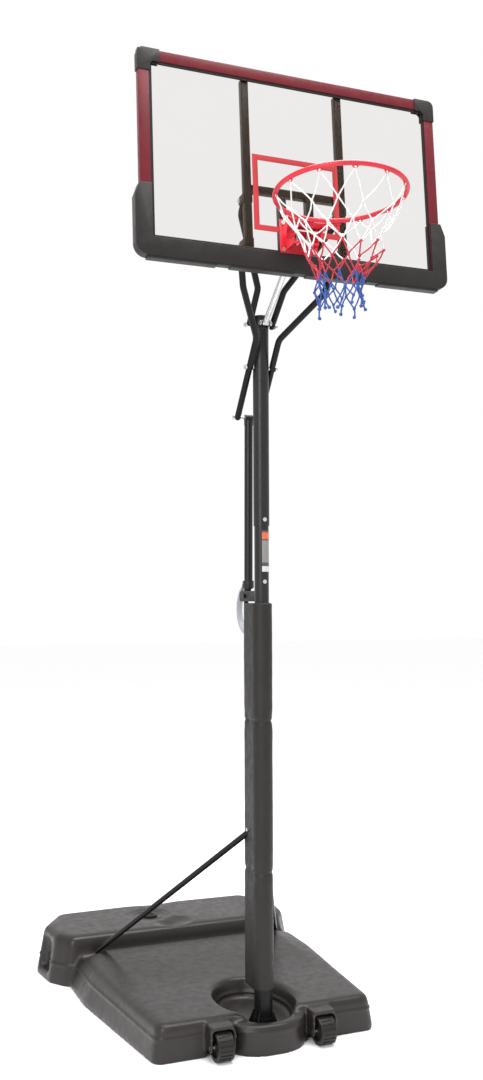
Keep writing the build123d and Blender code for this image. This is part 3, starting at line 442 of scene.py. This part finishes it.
def hanging(a, b, rng, slack=0.05):
    """Points of a cord between two knots, sagging a little and wandering."""
    steps = 9
    bow = Vector((rng.uniform(-1, 1), rng.uniform(-1, 1), -0.6)) * (b - a).length * slack
    return [a.lerp(b, i / steps) + bow * math.sin(math.pi * i / steps) for i in range(steps + 1)]


def make_net():
    rng = random.Random(5)
    rows = net_points()
    bm = bmesh.new()
    for r in range(len(rows) - 1):
        colour = 0 if r < WHITE_ROWS else (1 if r < RED_ROWS else 2)
        shift = 0 if r % 2 else -1      # odd rows stand half a step on
        for k in range(HOOKS):
            start = rows[r][k]
            for step in (0, 1):
                end = rows[r + 1][(k + step + shift) % HOOKS]
                tube_along(bm, hanging(start, end, rng), CORD_R, 8, colour, lobes=3)
            if r:
                knot_at(bm, start, CORD_R * 2.1, colour, rng.uniform(0, 50))
            else:
                knot_at(bm, start + Vector((0, 0, 0.002)), CORD_R * 1.8, colour, rng.uniform(0, 50))
    for point in rows[-1]:
        drift = (rng.uniform(-0.012, 0.012), rng.uniform(-0.012, 0.012), -rng.uniform(0.022, 0.036))
        tip = point + Vector(drift)
        tube_along(bm, hanging(point, tip, rng, 0.1), CORD_R * 1.1, 8, 2, lobes=3)
        knot_at(bm, point, CORD_R * 2.2, 2, rng.uniform(0, 50))
        knot_at(bm, tip, CORD_R * 2.4, 2, rng.uniform(0, 50))
    net = from_bmesh("knotted_net", bm, NET_WHITE, NET_RED, NET_BLUE)
    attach(net, "rim")
    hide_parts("net")


# ---------------------------------------------------------------- springs
def make_springs():
    """The two breakaway coils under the rim's flange."""
    bm = bmesh.new()
    turns, coil_r, wire = 6, 0.0074, 0.0014
    low, high = -0.0538, -0.0175
    for side in (-1, 1):
        points = []
        count = turns * 20
        for i in range(count + 1):
            angle = 2 * math.pi * turns * i / count
            height = low + wire + (high - low - 2 * wire) * i / count
            across = side * SPRING_X + coil_r * math.cos(angle)
            points.append(on_board(across, SPRING_DEPTH + coil_r * math.sin(angle), height))
        tube_along(bm, points, wire, 8)
    springs = from_bmesh("breakaway_coils", bm, ZINC)
    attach(springs, "backboard")
    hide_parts("breakaway_springs")


# ---------------------------------------------------------------- pole pad
def pad_outline(count, front_r, back_r, back_y):
    """Points round the pad's section: two arcs joined by straight sides."""
    straight = back_y
    length = math.pi * front_r + math.pi * back_r + 2 * straight
    points = []
    for i in range(count):
        s = length * i / count
        if s < math.pi * front_r:
            angle = math.pi + s / front_r
            points.append((front_r * math.cos(angle), front_r * math.sin(angle)))
        elif s < math.pi * front_r + straight:
            t = (s - math.pi * front_r) / straight
            points.append((front_r + (back_r - front_r) * t, back_y * t))
        elif s < math.pi * (front_r + back_r) + straight:
            angle = (s - math.pi * front_r - straight) / back_r
            points.append((back_r * math.cos(angle), back_y + back_r * math.sin(angle)))
        else:
            t = (length - s) / straight
            points.append((-front_r - (back_r - front_r) * t, back_y * t))
    return points


def make_pole_pad():
    """Foam sleeve in three sections, pulled in where they meet and lightly creased."""
    low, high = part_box("pole_pad")
    creases = (0.645, 1.225)
    count, levels = 84, 300
    front_r, back_r, back_y = 0.0398, 0.0378, 0.086
    outline = pad_outline(count, front_r, back_r, back_y)
    bm = bmesh.new()
    rings = []
    for j in range(levels + 1):
        z = low.z + (high.z - low.z) * j / levels
        gap = min(abs(z - c) for c in creases)
        pinch = 0.0034 * math.exp(-(gap / 0.006) ** 2) + 0.0012 * math.exp(-(gap / 0.03) ** 2)
        end = min(z - low.z, high.z - z)
        pinch += 0.006 * max(0.0, 1 - end / 0.006) ** 2
        ring = []
        for x, y in outline:
            centre_y = min(max(y, 0), back_y)
            out = Vector((x, y - centre_y, 0)).normalized()
            crease = noise.noise(Vector((x * 16, y * 16, z * 3.2))) * 0.0011
            gather = 1 + 3 * math.exp(-(gap / 0.05) ** 2)
            fold = noise.noise(Vector((x * 30, y * 30, z * 22))) * 0.0007 * gather
            ring.append(bm.verts.new(Vector((x, y, z)) + out * (crease + fold - pinch)))
        rings.append(ring)
    for a, b in zip(rings, rings[1:]):
        for k in range(count):
            bm.faces.new((a[k], a[(k + 1) % count], b[(k + 1) % count], b[k]))
    for ring, z, inner_r, flip in ((rings[0], low.z, 0.0356, True), (rings[-1], high.z, 0.0290, False)):
        hole = []
        for x, y in outline:
            angle = math.atan2(y, x)
            hole.append(bm.verts.new((inner_r * math.cos(angle), inner_r * math.sin(angle), z)))
        for k in range(count):
            quad = (ring[k], ring[(k + 1) % count], hole[(k + 1) % count], hole[k])
            bm.faces.new(tuple(reversed(quad)) if not flip else quad)
    bmesh.ops.recalc_face_normals(bm, faces=bm.faces)
    pad = from_bmesh("foam_pad", bm, VINYL)
    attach(pad, "stand")
    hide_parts("pole_pad")


# ---------------------------------------------------------------- tank
def outer_shell(node):
    """The outside of the tank's mesh: its walls' inner side and the filler's bore taken away."""
    bm = bmesh.new()
    bm.from_mesh(nodes[node].data)
    bmesh.ops.remove_doubles(bm, verts=bm.verts, dist=WELD)
    bore = []
    for face in bm.faces:
        centre = face.calc_center_median()
        reach = (Vector((centre.x, centre.y, 0)) - FILLER).length
        if 0.024 < reach < 0.0295 and abs(face.normal.z) < 0.5 and centre.z > 0.15:
            bore.append(face)
    bmesh.ops.delete(bm, geom=bore, context="FACES")
    left = set(bm.verts)
    shells = []
    while left:
        shell, edge = set(), [left.pop()]
        while edge:
            vert = edge.pop()
            shell.add(vert)
            for link in vert.link_edges:
                other = link.other_vert(vert)
                if other in left:
                    left.discard(other)
                    edge.append(other)
        shells.append(shell)
    keep = max(shells, key=lambda shell: max(v.co.x for v in shell) - min(v.co.x for v in shell))
    bmesh.ops.delete(bm, geom=[v for v in bm.verts if v not in keep], context="VERTS")
    bmesh.ops.holes_fill(bm, edges=[e for e in bm.edges if e.is_boundary], sides=0)
    return bm


def make_tank():
    """The blow-moulded tank: the plain form remeshed, its shoulders softened and its detail added."""
    tank = from_bmesh("moulded_tank", outer_shell("tank"), TANK)
    remesh = tank.modifiers.new("remesh", "REMESH")
    remesh.mode = "VOXEL"
    remesh.voxel_size = 0.006
    apply_all(tank)
    group = tank.vertex_groups.new(name="soft")
    for vert in tank.data.vertices:
        x, y, z = vert.co
        near = max(0.0, 1 - max(abs(abs(x) - WHEEL_X) - 0.055, y + 0.010, 0) / 0.03)
        cap = max(0.0, 1 - abs((Vector((x, y, 0)) - FILLER).length - 0.03) / 0.075) if z > 0.17 else 0
        foot = max(0.0, 1 - z / 0.012)
        group.add([vert.index], 1 - max(min(near, 1) * 0.93, min(cap, 1) * 0.9, foot * 0.97), "REPLACE")
    smooth = tank.modifiers.new("smooth", "SMOOTH")
    smooth.factor = 0.5
    smooth.iterations = 42
    smooth.vertex_group = "soft"
    apply_all(tank)
    shaped = [shape_tank(vert.co.copy(), vert.normal.copy()) for vert in tank.data.vertices]
    tank.data.vertices.foreach_set("co", [value for point in shaped for value in point])
    tank.data.materials.clear()
    tank.data.materials.append(TANK)
    tank.data.shade_smooth()
    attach(tank, "stand")
    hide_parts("tank")


def shape_tank(point, normal):
    """Moulded detail that the plain form lacks: parting flange, swept step, rings round the cap, a dish."""
    x, y, z = point
    if abs(normal.z) < 0.5:
        flange = math.exp(-((z - PARTING_Z) / 0.0045) ** 2)
        point += Vector((normal.x, normal.y, 0)) * 0.004 * flange
    if normal.z > 0.5 and z > 0.1 and SWEEP_START < y < SWEEP_END:
        rise = min(1.0, (y - SWEEP_START) / SWEEP_RUN)
        inside = max(0.0, min(1.0, (0.50 - abs(x)) / 0.10))
        point.z += SWEEP_RISE * rise * rise * (3 - 2 * rise) * inside
    if normal.z > 0.8 and z > 0.19:
        reach = (Vector((x, y, 0)) - FILLER).length
        for ring in CAP_RINGS:
            point.z += 0.0035 * math.exp(-((reach - ring) / 0.005) ** 2)
        dish = ((x - DISH.x) ** 2 + (y - DISH.y) ** 2) ** 0.5 / DISH_R
        point.z -= DISH_DEPTH * max(0.0, 1 - dish * dish) ** 1.5
    return point


def make_shadow_strip():
    """Black strip between the frame and the clear panel, on the front face: painted shade standing in for the
    shadow gap under the rails' inner edges.
    """
    bm = bmesh.new()
    width, front, back = 0.012, -0.0022, 0.0002
    outer = (WINDOW_X + 0.001, WINDOW_LOW - 0.001, WINDOW_HIGH + 0.001)
    rings = []
    for inset, depth in ((0, back), (0, front), (0.0015, front - 0.001), (width - 0.002, front - 0.001),
                         (width, front), (width, back)):
        x, low, high = outer[0] - inset, outer[1] + inset, outer[2] - inset
        corners = ((-x, low), (x, low), (x, high), (-x, high))
        rings.append([bm.verts.new(on_board(cx, depth, cz)) for cx, cz in corners])
    for a, b in zip(rings, rings[1:] + rings[:1]):
        for k in range(4):
            bm.faces.new((a[k], a[(k + 1) % 4], b[(k + 1) % 4], b[k]))
    bmesh.ops.recalc_face_normals(bm, faces=bm.faces)
    gasket = from_bmesh("window_shadow_strip", bm, SHADOW_STRIP, smooth=False)
    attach(gasket, "backboard")


# ---------------------------------------------------------------- build
for name, node in nodes.items():
    node.data.materials.clear()
    node.data.materials.append(FINISH[name])

BODY_OF = {node: body for body, members in frame["record"]["behaviour"]["bodies"].items() for node in members}

EDGES = {
    "top_rail": 0.003, "left_rail": 0.003, "right_rail": 0.003, "bottom_rail": 0.002, "left_corner_cap": 0.004,
    "right_corner_cap": 0.004, "bottom_pad": 0.007, "left_bar": 0.003, "right_bar": 0.003, "cross_bar": 0.003,
    "lower_cross_bar": 0.003, "left_post": 0.003, "right_post": 0.003, "pivot_plates": 0.0008,
    "rim_mount": 0.001, "rim_flange": 0.0015, "counter_bracket": 0.0008, "adjuster_bracket": 0.0008,
    "left_wheel": 0.003, "right_wheel": 0.003, "fill_cap": 0.002, "adjuster_handle": 0.003,
    "trigger_lever": 0.002, "pole_foot": 0.001,
}
for name, width in EDGES.items():
    softened(name, width, BODY_OF[name], FINISH[name])

collar = bpy.data.objects["adjuster_handle_finished"].data
collar.materials.append(GUARD)
for face in collar.polygons:
    face.material_index = int(face.center.z > GRIP_TOP)
make_net()
make_springs()
make_pole_pad()
make_tank()
make_shadow_strip()


# ---------------------------------------------------------------- scene
def make_floor():
    material, nt, shader = tree("floor_pale")
    where = place(nt)
    cloud = spread(nt, grain(nt, where, 2, 4), 0, 1)
    tint = blend_colours(nt, cloud, (0.975, 0.975, 0.975), (0.985, 0.985, 0.985))
    nt.links.new(tint, shader.inputs["Base Color"])
    shader.inputs["Roughness"].default_value = 0.9
    bm = bmesh.new()
    bmesh.ops.create_grid(bm, x_segments=4, y_segments=4, size=40)
    floor = from_bmesh("floor", bm, material)


def make_light(name, place_at, aim, size, watts):
    light = bpy.data.lights.new(name, "AREA")
    light.shape = "RECTANGLE"
    light.size, light.size_y = size
    light.energy = watts
    lamp = bpy.data.objects.new(name, light)
    lamp.location = place_at
    lamp.rotation_euler = (Vector(aim) - Vector(place_at)).to_track_quat("-Z", "Y").to_euler()
    bpy.context.scene.collection.objects.link(lamp)


def make_world():
    world = bpy.data.worlds.new("studio")
    bpy.context.scene.world = world
    world.use_nodes = True
    world.node_tree.nodes["Background"].inputs["Color"].default_value = (1, 1, 1, 1)
    world.node_tree.nodes["Background"].inputs["Strength"].default_value = 1.0


def make_camera():
    """Stands in front and to the player's left, at chest height, looking slightly up."""
    heading, pitch, roll = math.radians(-22.06), math.radians(3.26), math.radians(0.19)
    camera_data = bpy.data.cameras.new("camera")
    camera_data.sensor_fit = "VERTICAL"
    camera_data.sensor_height = 36.0
    camera_data.lens = 36.94
    camera = bpy.data.objects.new("camera", camera_data)
    turn = Matrix.Rotation(heading, 4, "Z") @ Matrix.Rotation(math.pi / 2 + pitch, 4, "X")
    camera.matrix_world = Matrix.Translation((-1.7086, -4.0068, 1.6835)) @ turn @ Matrix.Rotation(-roll, 4, "Z")
    bpy.context.scene.collection.objects.link(camera)
    bpy.context.scene.camera = camera


make_floor()
make_world()
make_light("overhead", (0.5, -0.5, 6.5), (0, 0, 0.5), (4, 4), 420)
make_light("key", (-4.5, -5.0, 4.0), (0, 0, 1.6), (3, 4), 220)
make_camera()
bpy.context.scene.view_settings.view_transform = "Standard"
